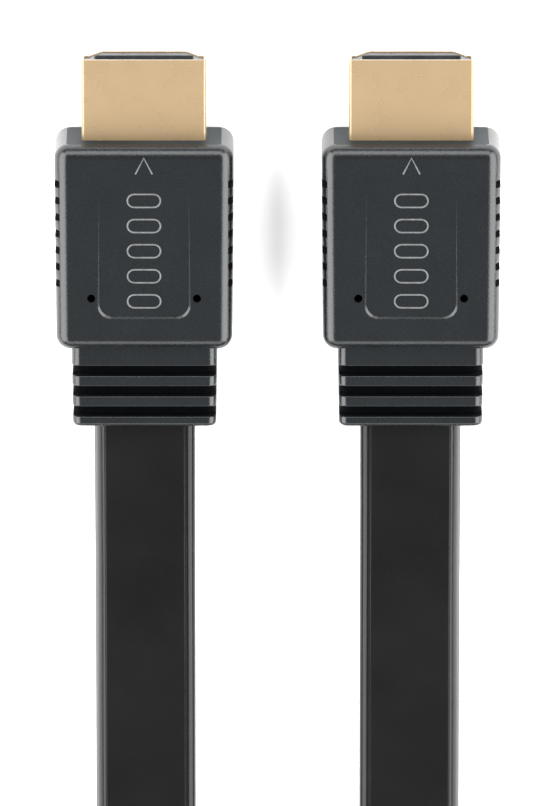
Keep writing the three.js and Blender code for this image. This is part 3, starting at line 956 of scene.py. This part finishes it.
def cord_stations(sizes):
    """Middle points of the whole cord, from the left plug to the right, and its two directions at each."""
    left = through(LEFT_LEAD, LEAD_STEPS)
    right = through(RIGHT_LEAD, LEAD_STEPS)
    middle = hank_rows(sizes)
    rows = np.vstack([left, middle[1:], right[::-1]])
    rows[:, 3] = np.clip(rows[:, 3], 0, 90)
    turns = np.radians(rows[:, 3])
    half_width = sizes.width / 2 - sizes.corner
    half_thickness = sizes.thickness / 2 - sizes.corner
    lowest = half_width * np.sin(turns) + half_thickness * np.cos(turns) + sizes.corner
    rows[:, 2] = np.maximum(rows[:, 2], lowest)
    centres = rows[:, :3]
    steps = np.gradient(centres, axis=0)
    steps /= np.linalg.norm(steps, axis=1)[:, None]
    widths = []
    count_back = len(left) + len(middle) - 1
    for i, (direction, turn) in enumerate(zip(steps, turns, strict=True)):
        forward = Vector(direction if i < count_back else -direction)
        across = Vector((0, 0, 1)).cross(forward).normalized()
        widths.append(Matrix.Rotation(turn, 3, forward) @ across)
    return [Vector(c) for c in centres], widths, [Vector(s) for s in steps]


def model_cord(sizes):
    """One tube of the flat section along the whole route."""
    centres, widths, steps = cord_stations(sizes)
    section = cord_section(sizes)
    shape = bmesh.new()
    rings = []
    for centre, width, step in zip(centres, widths, steps, strict=True):
        depth = step.cross(width).normalized()
        rings.append([shape.verts.new(centre + width * u + depth * w) for u, w in section])
    around = [0.0]
    for a, b in zip(section, section[1:] + section[:1], strict=True):
        around.append(around[-1] + math.dist(a, b))
    travelled = [0.0]
    for a, b in zip(centres, centres[1:], strict=False):
        travelled.append(travelled[-1] + (b - a).length)
    uv = shape.loops.layers.uv.new("route")
    count = len(section)
    for i, (ring, following) in enumerate(zip(rings, rings[1:], strict=False)):
        for k in range(count):
            after = (k + 1) % count
            face = shape.faces.new((ring[k], following[k], following[after], ring[after]))
            face.smooth = True
            places = ((k, i), (k, i + 1), (k + 1, i + 1), (k + 1, i))
            for loop, (side, station) in zip(face.loops, places, strict=True):
                loop[uv].uv = (around[side], travelled[station])
    shape.faces.new(rings[0][::-1])
    shape.faces.new(rings[-1])
    bmesh.ops.recalc_face_normals(shape, faces=shape.faces)
    mesh = bpy.data.meshes.new("flat_cord")
    shape.to_mesh(mesh)
    shape.free()
    cord = bpy.data.objects.new("flat_cord", mesh)
    bpy.context.scene.collection.objects.link(cord)
    return cord, centres


def model_strap(side):
    """Hook-and-loop tape wrapped once around the turns, its free end pressed down on top."""
    low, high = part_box(f"hank_strap_{side}")
    strap = rounded_block(f"{side}_strap", low, high, 1, TAPE_CORNER, 0.0003, 8, 3)
    bore = rounded_block(
        "strap_bore",
        (low.x + TAPE_THICKNESS, low.y - PAST, low.z + TAPE_THICKNESS),
        (high.x - TAPE_THICKNESS, high.y + PAST, high.z - TAPE_THICKNESS),
        1, 0.0007, 0.0, 6,
    )
    combine(strap, bore, "DIFFERENCE")
    flap = rounded_block(
        "strap_flap",
        (low.x + 0.0016, low.y + 0.0002, high.z - 0.0002),
        (high.x - 0.0012, high.y - 0.0002, high.z + FLAP_RISE),
        1, 0.00035, 0.0002, 4, 2,
    )
    combine(strap, flap, "UNION")
    smooth(strap, math.radians(40))
    return settle(strap, f"{side}_hank_tape")


# Operators


class CABLE_OT_stage(bpy.types.Operator):
    """Lays the floor and places the lights and the camera"""

    bl_idname = "cable.stage"
    bl_label = "Stage"

    def execute(self, context):
        finishes = context.scene.cable_finishes
        deselect()
        bpy.ops.mesh.primitive_plane_add(size=6.0, location=(0, 0, 0))
        floor = settle(context.object, "floor")
        floor.data.materials.append(finish_floor(finishes.floor))
        world = bpy.data.worlds.new("studio")
        context.scene.world = world
        world.use_nodes = True
        sky = world.node_tree.nodes["Background"]
        sky.inputs["Color"].default_value = (1, 1, 1, 1)
        sky.inputs["Strength"].default_value = WORLD_STRENGTH
        for light in LIGHTS:
            place_light(*light)
        place_camera()
        context.scene.view_settings.view_transform = "Standard"
        return {"FINISHED"}


def place_light(name, place, width, height, power):
    deselect()
    bpy.ops.object.light_add(type="AREA", location=place)
    light = bpy.context.object
    light.name = name
    light.data.shape = "RECTANGLE"
    light.data.size = width
    light.data.size_y = height
    light.data.energy = power
    light.rotation_euler = (-Vector(place)).to_track_quat("-Z", "Y").to_euler()
    light.visible_camera = False


def place_camera():
    """Far above the plugs, leaning towards their tips."""
    back = Vector((0, math.sin(CAMERA_LEAN), math.cos(CAMERA_LEAN)))
    deselect()
    bpy.ops.object.camera_add(location=CAMERA_AIM + back * CAMERA_DISTANCE)
    camera = bpy.context.object
    camera.name = "camera"
    right = Vector((1, 0, 0))
    up = back.cross(right)
    camera.rotation_euler = Matrix((right, up, back)).transposed().to_euler()
    camera.data.sensor_width = 36.0
    camera.data.lens = CAMERA_DISTANCE * camera.data.sensor_width / PICTURE_HEIGHT
    camera.data.clip_start = 0.1
    camera.data.clip_end = 20.0
    bpy.context.scene.camera = camera


class CABLE_OT_cord(bpy.types.Operator):
    """Models the cord as one length, from plug to plug through the hank"""

    bl_idname = "cable.cord"
    bl_label = "Cord"

    def execute(self, context):
        sizes = context.scene.cord_sizes
        cord, route = model_cord(sizes)
        cloth = finish_strap(context.scene.cable_finishes.strap)
        for side in SIDES:
            strap = model_strap(side)
            dress(strap, cloth, [f"hank_strap_{side}"])
        jacket = finish_jacket(context.scene.cable_finishes.jacket)
        dress(cord, jacket, ["cord_left_lead", "cord_right_lead", "cord_hank"])
        return {"FINISHED"}


class CABLE_OT_overmoulds(bpy.types.Operator):
    """Models the grip body and strain relief of both plugs"""

    bl_idname = "cable.overmoulds"
    bl_label = "Overmoulds"

    def execute(self, context):
        finishes = context.scene.cable_finishes
        grip_finishes = (
            finish_overmould(finishes.overmould),
            # Pale finish of the raised lines, a painted highlight
            finish_ridge_painted_highlight(finishes.ridge_painted_highlight),
            # Darkened plastic for slots, notches and holes, painted shade
            finish_recess(finishes.overmould),
            # Paler plastic for the front face, painted light
            finish_stop_face_painted_light(finishes.overmould),
        )
        for side in SIDES:
            piece = model_overmould(Plug(side, context.scene.plug_sizes), grip_finishes)
            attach(piece, "root")
            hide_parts(f"{side}_plug_overmould")
        return {"FINISHED"}


class CABLE_OT_shells(bpy.types.Operator):
    """Models the gold-plated shells"""

    bl_idname = "cable.shells"
    bl_label = "Shells"

    def execute(self, context):
        plate = finish_shell(context.scene.cable_finishes.shell)
        for side in SIDES:
            dress(model_shell(Plug(side, context.scene.plug_sizes)), plate, [f"{side}_plug_shell"])
        return {"FINISHED"}


class CABLE_OT_insulators(bpy.types.Operator):
    """Models the carriers inside the shells and plates their contacts"""

    bl_idname = "cable.insulators"
    bl_label = "Insulators and contacts"

    def execute(self, context):
        carrier = finish_insulator(context.scene.cable_finishes.insulator)
        plate = finish_contact(context.scene.cable_finishes.contact)
        for side in SIDES:
            piece = model_insulator(Plug(side, context.scene.plug_sizes))
            dress(piece, carrier, [f"{side}_plug_insulator"])
        for name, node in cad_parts.items():
            if "_contact_" in name:
                node.data.materials.clear()
                node.data.materials.append(plate)
        return {"FINISHED"}


class CABLE_PT_sidebar(bpy.types.Panel):
    """Lists the cable's sizes, finishes and operators"""

    bl_label = "Flat cable"
    bl_idname = "CABLE_PT_sidebar"
    bl_space_type = "VIEW_3D"
    bl_region_type = "UI"
    bl_category = "Cable"

    def draw(self, context):
        layout = self.layout
        for group in (context.scene.plug_sizes, context.scene.cord_sizes, context.scene.cable_finishes):
            column = layout.column(align=True)
            for name in group.__annotations__:
                column.prop(group, name)
        for operator in OPERATORS:
            layout.operator(operator.bl_idname)


OPERATORS = (CABLE_OT_stage, CABLE_OT_cord, CABLE_OT_overmoulds, CABLE_OT_shells, CABLE_OT_insulators)
CLASSES = (PlugSizes, CordSizes, Finishes, *OPERATORS, CABLE_PT_sidebar)


def register():
    for one in CLASSES:
        bpy.utils.register_class(one)
    bpy.types.Scene.plug_sizes = bpy.props.PointerProperty(type=PlugSizes)
    bpy.types.Scene.cord_sizes = bpy.props.PointerProperty(type=CordSizes)
    bpy.types.Scene.cable_finishes = bpy.props.PointerProperty(type=Finishes)


def unregister():
    del bpy.types.Scene.cable_finishes
    del bpy.types.Scene.cord_sizes
    del bpy.types.Scene.plug_sizes
    for one in reversed(CLASSES):
        bpy.utils.unregister_class(one)


def main():
    register()
    bpy.ops.cable.stage()
    bpy.ops.cable.cord()
    bpy.ops.cable.overmoulds()
    bpy.ops.cable.shells()
    bpy.ops.cable.insulators()


if __name__ == "__main__":
    main()
